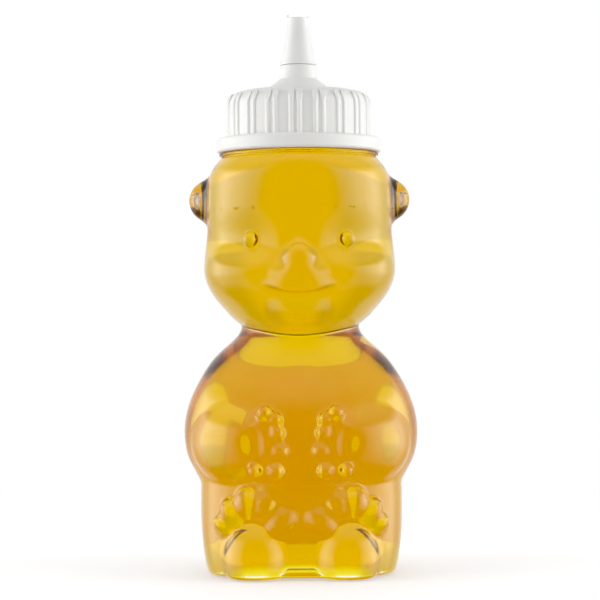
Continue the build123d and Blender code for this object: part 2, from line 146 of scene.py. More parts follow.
# Each finger's place across and up the paw as shares of it, and its size
FINGERS = [
    (0.02, 0.89, 0.90), (0.57, 0.70, 0.80), (0.68, 0.31, 0.90), (0.80, -0.19, 1.08), (0.57, -0.75, 0.98),
    (-0.50, -0.74, 0.76),
]
FINGER_RADIUS = 2.2
FINGER_BLEND = 1.4
# Each toe's angle in the fan, its reach and its size
TOES = [(-55.0, 0.87, 0.74), (-34.0, 0.95, 0.90), (-10.0, 1.01, 1.0), (14.0, 0.97, 1.0), (45.0, 0.86, 1.05)]
TOE_RADIUS = 3.0
TOE_LENGTH = 4.0
TOE_REACH = 11.9
TOE_BLEND = 1.9
TOE_DEPTH_SHARE = 0.85
TOE_FAN_LEVEL = 8.9

PADS = [(x, y) for x in (-14.0, 14.0) for y in (-15.2, 15.2)]
PAD_RADIUS = 2.6
PAD_TOP = 1.0
PAD_EDGE = 0.15
PAD_BLEND = 0.3
# The push-up's half width, half depth and rise
PUSH_UP = (17.0, 12.0, 1.2)
PUSH_UP_SQUARENESS = 3.2
PUSH_UP_ROUNDING = 1.6
PUSH_UP_BLEND = 0.8
FLOOR_BLEND = 1.5
FLOOR_PUSH_UP_BLEND = 1.0
# The honey's gap to the wall, how far its mesh stops below the fill, and its edge
HONEY_GAP = 0.02
HONEY_DROP = 0.03
HONEY_EDGE = 0.05
# Below this level the base's forms count, and above these the neck's and its bore's
BASE_TOP = 8
NECK_START = 110
BORE_START = 108


# Fields: below zero inside a form
def smooth_min(a, b, k):
    """The lower of two fields, rounded over a width of k where they meet."""
    h = np.clip(0.5 + 0.5 * (b - a) / k, 0, 1)
    return b + (a - b) * h - k * h * (1 - h)


def smooth_max(a, b, k):
    """The higher of two fields, rounded in the same way."""
    return -smooth_min(-a, -b, k)


def through(levels, values):
    """A natural cubic spline through values at levels, as a function."""
    levels = np.asarray(levels, float)
    values = np.asarray(values, float)
    gaps = np.diff(levels)
    count = len(levels)
    matrix = np.eye(count)
    right = np.zeros(count)
    for k in range(1, count - 1):
        matrix[k, k - 1:k + 2] = gaps[k - 1], 2 * (gaps[k - 1] + gaps[k]), gaps[k]
        right[k] = 6 * ((values[k + 1] - values[k]) / gaps[k] - (values[k] - values[k - 1]) / gaps[k - 1])
    bend = np.linalg.solve(matrix, right)

    def at(z):
        k = np.clip(np.searchsorted(levels, z) - 1, 0, count - 2)
        g = gaps[k]
        left = (levels[k + 1] - z) / g
        rest = (z - levels[k]) / g
        curve = ((left**3 - left) * bend[k] + (rest**3 - rest) * bend[k + 1]) * g * g / 6
        return left * values[k] + rest * values[k + 1] + curve
    return at


class Loft:
    """A form of smooth level curves, with its own depth to the front and to the back."""

    def __init__(self, rows, bottom, height, half_width, front, back):
        rows = np.array(rows)
        levels = bottom + height * rows[:, 0]
        self.bottom, self.top = bottom, bottom + height
        self.z = np.linspace(self.bottom, self.top, LOFT_STEPS)
        sizes = (half_width, front, back, 1.0)
        self.curves = [through(levels, rows[:, k + 1] * sizes[k])(self.z) for k in range(4)]
        self.slopes = [np.gradient(c, self.z) for c in self.curves[:3]]

    def side(self, x, y, z):
        """Distance from the form's side wall."""
        z = np.clip(z, self.bottom, self.top)
        a, front, back, n = (np.interp(z, self.z, c) for c in self.curves)
        a1, front1, back1 = (np.interp(z, self.z, c) for c in self.slopes)
        behind = y > 0
        d = np.where(behind, back, front)
        d1 = np.where(behind, back1, front1)
        u = np.abs(x) / a + 1e-6
        v = np.abs(y) / d + 1e-6
        un, vn = u**n, v**n
        total = un + vn
        rho = total ** (1 / n)
        scale = rho / total
        gx = scale * un / u / a
        gy = scale * vn / v / d
        gz = scale * (un * a1 / a + vn * d1 / d)
        return (rho - 1) / np.sqrt(gx * gx + gy * gy + gz * gz)

    def field(self, x, y, z, rounding=END_ROUNDING):
        """Distance from the form with its two ends."""
        ends = np.maximum(self.bottom - z, z - self.top)
        return smooth_max(self.side(x, y, z), ends, rounding)


block, trunk, head, muzzle = Loft(*BLOCK), Loft(*TRUNK), Loft(*HEAD), Loft(*MUZZLE)


def egg(x, y, z, centre, radii, lean, turn):
    """Distance from an ellipsoid leant about Y, then turned about Z."""
    dx, dy, dz = x - centre[0], y - centre[1], z - centre[2]
    if turn:
        c, s = math.cos(math.radians(turn)), math.sin(math.radians(turn))
        dx, dy = c * dx + s * dy, -s * dx + c * dy
    if lean:
        c, s = math.cos(math.radians(lean)), math.sin(math.radians(lean))
        dx, dz = c * dx - s * dz, s * dx + c * dz
    k0 = np.sqrt((dx / radii[0]) ** 2 + (dy / radii[1]) ** 2 + (dz / radii[2]) ** 2) + 1e-9
    k1 = np.sqrt((dx / radii[0] ** 2) ** 2 + (dy / radii[1] ** 2) ** 2 + (dz / radii[2] ** 2) ** 2) + 1e-9
    return k0 * (k0 - 1) / k1


def mirrored(form, side):
    """The same form on the right, for 1, or on the left, for -1."""
    centre, radii, lean, turn, blend = form
    return ((side * centre[0], centre[1], centre[2]), radii, side * lean, side * turn, blend)


def nearby(x, y, z, form):
    """The places near a rounded form, and how far they are from it."""
    centre, radii, lean, turn, blend = form
    reach = max(radii) + blend + FORM_MARGIN
    near = np.flatnonzero(
        (np.abs(z - centre[2]) < reach) & (np.abs(x - centre[0]) < reach) & (np.abs(y - centre[1]) < reach)
    )
    return near, egg(x[near], y[near], z[near], centre, radii, lean, turn)


def stamp(field, x, y, z, form):
    """Joins a rounded form to a field, in place."""
    near, away = nearby(x, y, z, form)
    field[near] = smooth_min(field[near], away, form[4])


def carve(field, x, y, z, form):
    """Takes a rounded form out of a field, in place."""
    near, away = nearby(x, y, z, form)
    field[near] = smooth_max(field[near], -away, form[4])


def block_face(x):
    """How far forward the block's front is at x."""
    return BLOCK_FRONT * (1 - abs(x / BLOCK_HALF_WIDTH) ** FACE_SQUARENESS) ** (1 / FACE_SQUARENESS)


def limb_forms():
    """The forearms, the paws and the soles."""
    return [mirrored(form, side) for side in (-1, 1) for form in (FOREARM, PAW, SOLE)]


def small_forms():
    """The nose, the eyes, the fingers and the toes."""
    forms = [NOSE]
    paw_x, paw_z = PAW[0][0], PAW[0][2]
    paw_width, paw_height = PAW[1][0], PAW[1][2]
    for side in (-1, 1):
        forms.append(mirrored(EYE, side))
        for across, up, size in FINGERS:
            r = FINGER_RADIUS * size
            place = (side * (paw_x - across * paw_width), -(HALF_DEPTH - r), paw_z + up * paw_height)
            forms.append((place, (r, r, r), 0, 0, FINGER_BLEND))
        for angle, reach, size in TOES:
            x = SOLE[0][0] - TOE_REACH * reach * math.sin(math.radians(angle))
            z = TOE_FAN_LEVEL + TOE_REACH * reach * math.cos(math.radians(angle))
            w = TOE_RADIUS * size
            place = (side * x, -block_face(x), z)
            radii = (w, w * TOE_DEPTH_SHARE, TOE_LENGTH * size)
            forms.append((place, radii, -side * angle, 0, TOE_BLEND))
    return forms


LIMBS = limb_forms()
SMALL = small_forms()
LOFTS = [
    (block, BLOCK_BLEND, FOOT_ROUNDING), (trunk, TRUNK_BLEND, END_ROUNDING), (head, HEAD_BLEND, END_ROUNDING),
]


def big_field(x, y, z):
    """The block, the trunk, the head and the belly."""
    field = np.full(x.shape, OUTSIDE)
    for form, blend, rounding in LOFTS:
        near = np.flatnonzero((z > form.bottom - LOFT_MARGIN) & (z < form.top + LOFT_MARGIN))
        d = form.field(x[near], y[near], z[near], rounding)
        field[near] = smooth_min(field[near], d, blend)
    stamp(field, x, y, z, BELLY)
    return field


def add_muzzle(field, x, y, z):
    """A bulge that widens downwards and ends in the line of the mouth."""
    half_width, back, low, high = MUZZLE_REGION
    near = np.flatnonzero((np.abs(x) < half_width) & (y < back) & (z > low) & (z < high))
    if not len(near):
        return
    mx, my, mz = x[near], y[near], z[near]
    bulge = muzzle.field(mx, my + MUZZLE_FORWARD, mz)
    level, rise, reach, slope, rounding = MOUTH_LINE
    mouth = (level + rise * (mx / reach) ** 2 - mz) * slope
    field[near] = smooth_min(field[near], smooth_max(bulge, mouth, rounding), MUZZLE_BLEND)


def sink_sockets(field, x, y, z):
    """Presses a hollow across each eye, which dies out round the side of the head."""
    level, half_height, depth, start, deepest, left = SOCKET
    near = np.flatnonzero((np.abs(z - level) < half_height + 1) & (y < 0) & (np.abs(x) > start))
    if len(near):
        across = np.abs(x[near])
        inner = np.sin(np.clip((across - start) / (deepest - start), 0, 1) * math.pi / 2) ** 2
        outer = 1 - (1 - left) * np.clip((across - deepest) / deepest, 0, 1) ** 2
        rise = 1.0 - np.sqrt(((z[near] - level) / half_height) ** 2 + SOCKET_BOTTOM)
        side = np.clip(-y[near] / SOCKET_FADE, 0, 1)
        fade = side * side * (3 - 2 * side)
        field[near] += depth * inner * outer * fade * smooth_max(rise, 0.0, SOCKET_BLEND)


def box_ring(r, z, radius, low, high, rounding):
    """Distance from an upright cylinder with rounded edges."""
    qr = r - radius + rounding
    qz = np.abs(z - (low + high) / 2) - (high - low) / 2 + rounding
    outside = np.sqrt(np.maximum(qr, 0) ** 2 + np.maximum(qz, 0) ** 2)
    return outside + np.minimum(np.maximum(qr, qz), 0) - rounding


def neck_field(x, y, z):
    """The neck's outside, with its bead and its two threads."""
    r = np.sqrt(x * x + y * y)
    turn = np.arctan2(y, x) / (2 * math.pi)
    ridge = np.zeros(x.shape)
    base = SHOULDER_LEVEL + THREAD_RISE
    for start in THREAD_STARTS:
        for lap in (-1, 0, 1):
            along = turn - start + lap
            middle = base + THREAD_LEAD * along
            away = np.abs(z - middle)
            height = np.clip((THREAD_ROOT / 2 - away) / (THREAD_ROOT / 2 - THREAD_CREST / 2), 0, 1)
            ends = np.clip(np.minimum(along, THREAD_TURNS - along) / THREAD_FADE, 0, 1)
            ridge = np.maximum(ridge, height * np.sqrt(ends))
    wall = box_ring(r - ridge * THREAD_DEPTH, z, NECK_RADIUS, BEAD_LEVEL - NECK_SINK, RIM_LEVEL, NECK_EDGE)
    bead = box_ring(r, z, BEAD_RADIUS, BEAD_LEVEL, SHOULDER_LEVEL, BEAD_EDGE)
    throat = box_ring(r, z, THROAT_RADIUS, BEAD_LEVEL - NECK_SINK, SHOULDER_LEVEL, THROAT_EDGE)
    return smooth_min(wall, smooth_min(bead, throat, THROAT_BLEND), NECK_BLEND)


def push_up_field(x, y, z, grow):
    """The hollow under the base, whose sides lean in."""
    width, depth, rise = PUSH_UP
    drop = np.clip((z - PAD_HEIGHT) / rise, 0, 1) * 2 * rise
    a = width + grow - drop
    d = depth + grow - drop
    u, v = np.abs(x) / a + 1e-6, np.abs(y) / d + 1e-6
    rho = (u**PUSH_UP_SQUARENESS + v**PUSH_UP_SQUARENESS) ** (1 / PUSH_UP_SQUARENESS)
    side = (rho - 1) * np.minimum(a, d) * 0.5
    return smooth_max(side, z - PAD_HEIGHT - rise - grow, PUSH_UP_ROUNDING)


def skin_field(x, y, z):
    """The bear with its face, ears, arms and feet, which the wall follows."""
    field = big_field(x, y, z)
    for form in LIMBS:
        stamp(field, x, y, z, form)
    sink_sockets(field, x, y, z)
    stamp(field, x, y, z, CHIN)
    add_muzzle(field, x, y, z)
    for side in (-1, 1):
        stamp(field, x, y, z, mirrored(EAR, side))
        carve(field, x, y, z, mirrored(PALM, side))
    return field


def outer_field(x, y, z, skin=None):
    """The bottle's outside, with its small bumps, its neck and its base."""
    field = skin_field(x, y, z) if skin is None else skin.copy()
    for form in SMALL:
        stamp(field, x, y, z, form)
    high = np.flatnonzero(z > NECK_START)
    if len(high):
        field[high] = smooth_min(field[high], neck_field(x[high], y[high], z[high]), NECK_BLEND)
    low = np.flatnonzero(z < BASE_TOP)
    if len(low):
        lx, ly, lz = x[low], y[low], z[low]
        ground = smooth_max(field[low], PAD_HEIGHT - lz, FOOT_ROUNDING)
        ground = smooth_max(ground, -push_up_field(lx, ly, lz, 0), PUSH_UP_BLEND)
        for px, py in PADS:
            r = np.sqrt((lx - px) ** 2 + (ly - py) ** 2)
            pad = box_ring(r, lz, PAD_RADIUS, 0.0, PAD_TOP, PAD_EDGE)
            ground = smooth_min(ground, pad, PAD_BLEND)
        field[low] = ground
    return field


def cavity_field(x, y, z, skin=None):
    """The room inside, which is the bear without its small bumps drawn in by the wall."""
    in_ear = np.clip((np.abs(x) - EAR_ROOT) / EAR_FADE, 0, 1) * np.clip((z - EAR_BOTTOM) / EAR_FADE, 0, 1)
    field = (skin_field(x, y, z) if skin is None else skin) + WALL + EAR_FILLING * in_ear
    high = np.flatnonzero(z > BORE_START)
    if len(high):
        r = np.sqrt(x[high] ** 2 + y[high] ** 2)
        bottom, top = BEAD_LEVEL - BORE_SINK, RIM_LEVEL + BORE_RISE
        bore = box_ring(r, z[high], NECK_BORE_RADIUS, bottom, top, BORE_EDGE)
        field[high] = smooth_min(field[high], bore, BORE_BLEND)
    low = np.flatnonzero(z < BASE_TOP)
    if len(low):
        lx, ly, lz = x[low], y[low], z[low]
        floor = PAD_HEIGHT + FLOOR_WALL - lz
        ground = smooth_max(field[low], floor, FLOOR_BLEND)
        field[low] = smooth_max(ground, -push_up_field(lx, ly, lz, FLOOR_WALL), FLOOR_PUSH_UP_BLEND)
    return field


def bottle_field(x, y, z):
    """The bottle's wall, between its outside and the room inside."""
    skin = skin_field(x, y, z)
    return smooth_max(outer_field(x, y, z, skin), -cavity_field(x, y, z, skin), LIP_ROUNDING)


def honey_field(x, y, z):
    """The room inside up to the fill."""
    return smooth_max(cavity_field(x, y, z) + HONEY_GAP, z - FILL_LEVEL + HONEY_DROP, HONEY_EDGE)


# Surfaces from fields: how far inside and outside the rough form they lie, and the value further off
WALL_REACH = 3.2
BUMP_REACH = 7.0
FAR = 9.0
# How much of the way points move to their neighbours' middle, and their longest hop to the surface
EVEN_SHARE = 0.5
LONGEST_HOP = 0.3
FLATTEST_SLOPE = 0.05


def grid_values(field, low, high, step):
    """The field on a grid, worked out closely only near the surface."""
    axes = [np.arange(a, b + step, step) for a, b in zip(low, high)]
    shape = tuple(len(a) for a in axes)
    x, y, z = (g.ravel() for g in np.meshgrid(*axes, indexing="ij"))
    rough = big_field(x, y, z)
    near = np.flatnonzero(((rough > -WALL_REACH) & (rough < BUMP_REACH)) | (z > NECK_START - 1))
    values = np.where(rough < 0, -FAR, FAR) if field is honey_field else np.full(x.shape, FAR)
    values[near] = field(x[near], y[near], z[near])
    return values.reshape(shape)


def surface_net(values, low, step):
    """Quads with one point in each cell that the surface crosses."""
    shape = values.shape
    cells = tuple(n - 1 for n in shape)
    total = np.zeros((3, cells[0] * cells[1] * cells[2]))
    count = np.zeros(cells[0] * cells[1] * cells[2])
    inside = values < 0
    edges = []
    for axis in range(3):
        u, v = (axis + 1) % 3, (axis + 2) % 3
        start = [slice(None)] * 3
        end = [slice(None)] * 3
        start[axis], end[axis] = slice(0, -1), slice(1, None)
        a, b = values[tuple(start)], values[tuple(end)]
        cross = inside[tuple(start)] != inside[tuple(end)]
        index = np.array(np.nonzero(cross))
        t = a[cross] / (a[cross] - b[cross])
        place = index.astype(float)
        place[axis] += t
        corner = {}
        for du in (0, -1):
            for dv in (0, -1):
                cell = index.copy()
                cell[u] += du
                cell[v] += dv
                ok = (cell[u] >= 0) & (cell[v] >= 0) & (cell[u] < cells[u]) & (cell[v] < cells[v])
                flat = np.where(ok, (cell[0] * cells[1] + cell[1]) * cells[2] + cell[2], -1)
                corner[du, dv] = flat
                for k in range(3):
                    total[k] += np.bincount(flat[ok], place[k][ok], minlength=total.shape[1])
                count += np.bincount(flat[ok], minlength=total.shape[1])
        quad = np.stack([corner[-1, -1], corner[0, -1], corner[0, 0], corner[-1, 0]], axis=1)
        flip = ~inside[tuple(start)][cross]
        quad[flip] = quad[flip][:, ::-1]
        edges.append(quad[(quad >= 0).all(axis=1)])
    used = np.flatnonzero(count)
    points = (total[:, used] / count[used]).T * step + np.array(low)
    number = np.full(total.shape[1], -1)
    number[used] = np.arange(len(used))
    return points, number[np.concatenate(edges)]


def value_and_slope(field, points, step=0.02):
    """The field at each point, and how fast it grows along X, Y and Z."""
    value = field(*points.T)
    slopes = [(field(*(points + step * np.eye(3)[k]).T) - value) / step for k in range(3)]
    return value[:, None], np.stack(slopes, axis=1)


def settle(field, points, quads, rounds=2):
    """Spaces the points evenly and sets them on the surface."""
    pairs = np.concatenate([quads[:, [k, (k + 1) % 4]] for k in range(4)])
    degree = np.bincount(pairs.ravel(), minlength=len(points))[:, None]
    for turn in range(rounds):
        around = np.zeros_like(points)
        for a, b in ((0, 1), (1, 0)):
            for k in range(3):
                around[:, k] += np.bincount(pairs[:, a], points[pairs[:, b], k], minlength=len(points))
        points = points + EVEN_SHARE * (around / degree - points)
        for _ in range(turn + 1):
            value, slope = value_and_slope(field, points)
            move = value * slope / np.maximum((slope**2).sum(axis=1, keepdims=True), FLATTEST_SLOPE)
            size = np.linalg.norm(move, axis=1, keepdims=True)
            points = points - move * np.minimum(1, LONGEST_HOP / np.maximum(size, 1e-9))
    return points


def meshed(name, field, low, high, step):
    """An object from a field, shaded with the field's own slope."""
    values = grid_values(field, low, high, step)
    points, quads = surface_net(values, low, step)
    points = settle(field, points, quads)
    slope = value_and_slope(field, points)[1]
    normals = slope / np.maximum(np.linalg.norm(slope, axis=1, keepdims=True), 1e-9)
    return mesh_object(name, points, quads, normals), points, quads


def mesh_object(name, points, faces, normals):
    """An object of faces alike in corners, shaded smooth by its normals."""
    mesh = bpy.data.meshes.new(name)
    faces = np.asarray(faces)
    mesh.vertices.add(len(points))
    mesh.vertices.foreach_set("co", (np.asarray(points) * MM).astype(np.float32).ravel())
    sides = faces.shape[1]
    mesh.loops.add(faces.size)
    mesh.loops.foreach_set("vertex_index", faces.astype(np.int32).ravel())
    mesh.polygons.add(len(faces))
    mesh.polygons.foreach_set("loop_start", np.arange(0, faces.size, sides, dtype=np.int32))
    mesh.update(calc_edges=True)
    mesh.validate()
    mesh.shade_smooth()
    mesh.normals_split_custom_set_from_vertices(normals.tolist())
    thing = bpy.data.objects.new(name, mesh)
    bpy.context.scene.collection.objects.link(thing)
    return thing


def disc(name, radius, low, high, sides=96):
    """A thin round sheet, closed all round."""
    turn = np.linspace(0, 2 * math.pi, sides, endpoint=False)
    ring = radius * np.stack([np.cos(turn), np.sin(turn)], axis=1)
    rings = [np.column_stack([ring, np.full(sides, level)]) for level in (low, high)]
    points = np.concatenate(rings + [[(0, 0, low), (0, 0, high)]])
    k = np.arange(sides)
    after = (k + 1) % sides
    under, over = np.full(sides, 2 * sides), np.full(sides, 2 * sides + 1)
    corners = [
        (under, after, k), (over, k + sides, after + sides),
        (k, after, after + sides), (k, after + sides, k + sides),
    ]
    triangles = np.concatenate([np.stack(three, axis=1) for three in corners])
    upright = np.concatenate([np.tile((0, 0, -1.0), (sides, 1)), np.tile((0, 0, 1.0), (sides, 1)),
                              [(0, 0, -1.0), (0, 0, 1.0)]])
    return mesh_object(name, points, triangles, upright)


# Materials
CLOUD_SHARE = 0.975
HONEY_COLOUR = (0.978, 0.929, 0.0, 1.0)
HONEY_DENSITY = 250.0
# How strongly the painted glow on the label's face against the bottle shines, and how squarely it has to look
# inward for that
PAINTED_LABEL_GLOW = 0.55
INWARD = -0.9


def new_material(name):
    """A material with its nodes, its links and its shader."""
    material = bpy.data.materials.new(name)
    material.use_nodes = True
    nodes = material.node_tree.nodes
    links = material.node_tree.links
    return material, nodes, links, nodes["Principled BSDF"]


def noise(nodes, links, scale, detail, roughness):
    """A noise texture in the object's own place."""
    place = nodes.new("ShaderNodeTexCoord")
    texture = nodes.new("ShaderNodeTexNoise")
    texture.inputs["Scale"].default_value = scale
    texture.inputs["Detail"].default_value = detail
    texture.inputs["Roughness"].default_value = roughness
    links.new(place.outputs["Object"], texture.inputs["Vector"])
    return texture


def bump(nodes, links, height, shader, distance, strength):
    """Fine relief on a shader."""
    node = nodes.new("ShaderNodeBump")
    node.inputs["Distance"].default_value = distance
    node.inputs["Strength"].default_value = strength
    links.new(height, node.inputs["Height"])
    links.new(node.outputs["Normal"], shader.inputs["Normal"])


def two_tone(nodes, links, amount, low, high, shader):
    """A base colour from low to high by amount."""
    ramp = nodes.new("ShaderNodeValToRGB")
    ramp.color_ramp.elements[0].color = tuple(low) + (1,)
    ramp.color_ramp.elements[1].color = tuple(high) + (1,)
    links.new(amount, ramp.inputs["Fac"])
    links.new(ramp.outputs["Color"], shader.inputs["Base Color"])


def clear(name, roughness, ior):
    """A colourless see-through material."""
    material, nodes, links, shader = new_material(name)
    shader.inputs["Base Color"].default_value = (1.0, 1.0, 1.0, 1.0)
    shader.inputs["Transmission Weight"].default_value = 1.0
    shader.inputs["Roughness"].default_value = roughness
    shader.inputs["IOR"].default_value = ior
    return material, nodes, links, shader


def clear_plastic():
    """The bottle's plastic, with the small ripples of a blown wall."""
    material, nodes, links, shader = clear("clear_plastic", roughness=0.09, ior=1.5)
    ripple = noise(nodes, links, scale=90.0, detail=3.0, roughness=0.45)
    bump(nodes, links, ripple.outputs["Fac"], shader, distance=0.0004, strength=0.10)
    return material


def honey_material():
    """Honey that meets plastic, which bends light nearly alike, so that only its colour shows."""
    material, nodes, links, shader = clear("honey", roughness=0.0, ior=1.0)
    volume = nodes.new("ShaderNodeVolumeAbsorption")
    volume.inputs["Color"].default_value = HONEY_COLOUR
    volume.inputs["Density"].default_value = HONEY_DENSITY
    links.new(volume.outputs["Volume"], nodes["Material Output"].inputs["Volume"])
    return material


def paper():
    """White paper, whose face against the bottle has a painted glow that stands in for the light coming
    through the honey.
    """
    material, nodes, links, shader = new_material("label_paper")
    texture = noise(nodes, links, scale=900.0, detail=4.0, roughness=0.6)
    two_tone(nodes, links, texture.outputs["Fac"], (0.76, 0.75, 0.73), (0.82, 0.81, 0.79), shader)
    shader.inputs["Roughness"].default_value = 0.7
    # Painted glow: the faces that look into the bottle give off warm light, strongest where they look
    # straight in, though paper gives off no light of its own
    shader.inputs["Emission Color"].default_value = (1.0, 0.95, 0.9, 1.0)
    turned = nodes.new("ShaderNodeTexCoord")
    split = nodes.new("ShaderNodeSeparateXYZ")
    links.new(turned.outputs["Normal"], split.inputs["Vector"])
    inward = nodes.new("ShaderNodeMapRange")
    inward.inputs["From Min"].default_value = INWARD
    inward.inputs["From Max"].default_value = 0.0
    inward.inputs["To Min"].default_value = PAINTED_LABEL_GLOW
    inward.inputs["To Max"].default_value = 0.0
    links.new(split.outputs["Y"], inward.inputs["Value"])
    links.new(inward.outputs["Result"], shader.inputs["Emission Strength"])
    bump(nodes, links, texture.outputs["Fac"], shader, distance=0.00005, strength=0.3)
    return material


def white_plastic(name, colour, roughness, grain):
    """Moulded plastic with faint clouds and a fine grain, which lets a little light in."""
    material, nodes, links, shader = new_material(name)
    cloud = noise(nodes, links, scale=55.0, detail=3.0, roughness=0.5)
    two_tone(nodes, links, cloud.outputs["Fac"], [CLOUD_SHARE * c for c in colour], colour, shader)
    shader.inputs["Roughness"].default_value = roughness
    shader.inputs["IOR"].default_value = 1.46
    shader.inputs["Subsurface Weight"].default_value = 0.4
    shader.inputs["Subsurface Scale"].default_value = 0.0012
    shader.inputs["Subsurface Radius"].default_value = (1.0, 0.97, 0.8)
    fine = noise(nodes, links, scale=grain, detail=3.0, roughness=0.6)
    bump(nodes, links, fine.outputs["Fac"], shader, distance=0.00006, strength=0.35)
    return material


def foam():
    """White foam with fine cells."""
    material, nodes, links, shader = new_material("liner_foam")
    texture = nodes.new("ShaderNodeTexVoronoi")
    place = nodes.new("ShaderNodeTexCoord")
    links.new(place.outputs["Object"], texture.inputs["Vector"])
    texture.inputs["Scale"].default_value = 2200.0
    cells = texture.outputs["Distance"]
    two_tone(nodes, links, cells, (0.70, 0.70, 0.68), (0.88, 0.88, 0.86), shader)
    shader.inputs["Roughness"].default_value = 0.8
    bump(nodes, links, cells, shader, distance=0.0001, strength=0.5)
    return material


PLASTIC = clear_plastic()
WETTED = clear("wetted_plastic", roughness=0.0, ior=1.0)[0]
HONEY = honey_material()
SURFACE = clear("honey_surface", roughness=0.02, ior=1.49)[0]
PAPER = paper()
CAP_WHITE = white_plastic("white_cap", (0.90, 0.90, 0.875), roughness=0.38, grain=2600.0)
TIP_WHITE = white_plastic("white_tip", (0.90, 0.90, 0.88), roughness=0.3, grain=3200.0)
FOAM = foam()


# The bottle and the honey
GRID_LOW = (-33.3, -26.6, -0.9)
GRID_HIGH = (33.3, 26.6, 131.6)
HONEY_HIGH = (33.3, 26.6, 125.5)
STEP = 0.5
SURFACE_GAP = 0.1
SURFACE_BOTTOM = 0.02
SURFACE_TOP = 0.06

shell, shell_points, shell_quads = meshed("bear_shell", bottle_field, GRID_LOW, GRID_HIGH, STEP)
shell.data.materials.append(PLASTIC)
shell.data.materials.append(WETTED)
middles = shell_points[shell_quads].mean(axis=1)
inner = np.abs(cavity_field(*middles.T)) < np.abs(outer_field(*middles.T))
wet = inner & (middles[:, 2] < FILL_LEVEL)
if len(shell.data.polygons) == len(wet):
    shell.data.polygons.foreach_set("material_index", wet.astype(np.int32))
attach(shell, "bottle")
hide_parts("bottle")

filling = meshed("honey_filling", honey_field, GRID_LOW, HONEY_HIGH, STEP)[0]
filling.data.materials.append(HONEY)
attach(filling, "bottle")
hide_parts("honey")

top_radius = NECK_BORE_RADIUS - SURFACE_GAP
top = disc("honey_top", top_radius, FILL_LEVEL - SURFACE_BOTTOM, FILL_LEVEL + SURFACE_TOP)
top.data.materials.append(SURFACE)
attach(top, "bottle")

FINISHES = {"back_label": PAPER, "screw_cap": CAP_WHITE, "tip_cap": TIP_WHITE, "cap_liner": FOAM}
for node, finish in FINISHES.items():
    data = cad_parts[node].data
    data.materials.clear()
    data.materials.append(finish)


# Floor, backdrop and light
FLOOR_HALF = 0.6
FLOOR_GLOW = 0.42
FADE_FROM = 0.06
FADE_TO = 0.26
# What the gloss shows, by how far back a direction points, then by how high, as stops with the two ends first
GLOSS_AROUND = [
    (-1.0, 0.02), (1.0, 1.0), (-0.83, 0.06), (-0.74, 0.8), (-0.5, 2.3), (-0.2, 3.5), (0.1, 4.2),
    (0.36, 2.9), (0.7, 1.1),
]
GLOSS_HEIGHT = [
    (-1.0, 0.0), (1.0, 0.05), (-0.62, 0.02), (-0.5, 0.25), (-0.34, 0.5), (-0.2, 0.75), (-0.06, 1.0),
    (0.34, 1.0), (0.45, 0.5), (0.52, 0.18), (0.6, 0.06),
]
GLOSS_CEILING = [(-1.0, 0.0), (1.0, 0.8), (0.4, 0.0), (0.55, 0.2), (0.7, 0.6)]
GLOSS_BACKDROP = [(-1.0, 0.0), (1.0, 1.0), (0.25, 0.0), (0.5, 0.8)]
# The room's own light, by how far back a direction points
ROOM_LIGHT = [(-1.0, 0.40), (1.0, 0.75), (-0.5, 0.46), (0.0, 0.55)]
# What shows through the honey: the lit backdrop, and the room beside it, by how far aside a direction points
BACKDROP_EDGE = (0.17, 0.33)
BESIDE_LEVEL = 0.82
LEAST_BACK = 0.01


def math_node(nodes, links, operation, a, b):
    """The result of a sum on a socket and a socket or a number."""
    node = nodes.new("ShaderNodeMath")
    node.operation = operation
    links.new(a, node.inputs[0])
    if isinstance(b, float):
        node.inputs[1].default_value = b
    else:
        links.new(b, node.inputs[1])
    return node


def mixed(nodes, links, amount, off, on):
    """One shader turning into another by amount."""
    node = nodes.new("ShaderNodeMixShader")
    links.new(amount, node.inputs["Fac"])
    links.new(off, node.inputs[1])
    links.new(on, node.inputs[2])
    return node.outputs["Shader"]


def floor_material():
    """Matte and shaded near the bottle, and lit white further out, for rays that look at it."""
    material, nodes, links, shader = new_material("floor")
    shader.inputs["Base Color"].default_value = (0.8, 0.8, 0.8, 1)
    shader.inputs["Roughness"].default_value = 0.8
    shader.inputs["Emission Color"].default_value = (1, 1, 1, 1)
    place = nodes.new("ShaderNodeTexCoord")
    distance = nodes.new("ShaderNodeVectorMath")
    distance.operation = "LENGTH"
    links.new(place.outputs["Object"], distance.inputs[0])
    fade = nodes.new("ShaderNodeMapRange")
    fade.interpolation_type = "SMOOTHSTEP"
    fade.inputs["From Min"].default_value = FADE_FROM
    fade.inputs["From Max"].default_value = FADE_TO
    links.new(distance.outputs["Value"], fade.inputs["Value"])
    path = nodes.new("ShaderNodeLightPath")
    camera_ray, glossy_ray = path.outputs["Is Camera Ray"], path.outputs["Is Glossy Ray"]
    through_ray = path.outputs["Is Transmission Ray"]
    looks = math_node(nodes, links, "MAXIMUM", camera_ray, through_ray).outputs["Value"]
    glow = math_node(nodes, links, "MULTIPLY", looks, FLOOR_GLOW).outputs["Value"]
    links.new(glow, shader.inputs["Emission Strength"])
    far = nodes.new("ShaderNodeEmission")
    share = math_node(nodes, links, "MULTIPLY", looks, fade.outputs["Result"]).outputs["Value"]
    seen = mixed(nodes, links, share, shader.outputs["BSDF"], far.outputs["Emission"])
    mirror_ray = math_node(nodes, links, "SUBTRACT", glossy_ray, through_ray)
    mirror_ray.use_clamp = True
    open_floor = nodes.new("ShaderNodeBsdfTransparent")
    surface = mixed(nodes, links, mirror_ray.outputs["Value"], seen, open_floor.outputs["BSDF"])
    links.new(surface, nodes["Material Output"].inputs["Surface"])
    return material


floor_mesh = bpy.data.meshes.new("floor")
corners = [(x * FLOOR_HALF, y * FLOOR_HALF, 0) for x, y in ((-1, -1), (1, -1), (1, 1), (-1, 1))]
floor_mesh.from_pydata(corners, [], [(0, 1, 2, 3)])
floor = bpy.data.objects.new("floor", floor_mesh)
bpy.context.scene.collection.objects.link(floor)
floor.data.materials.append(floor_material())

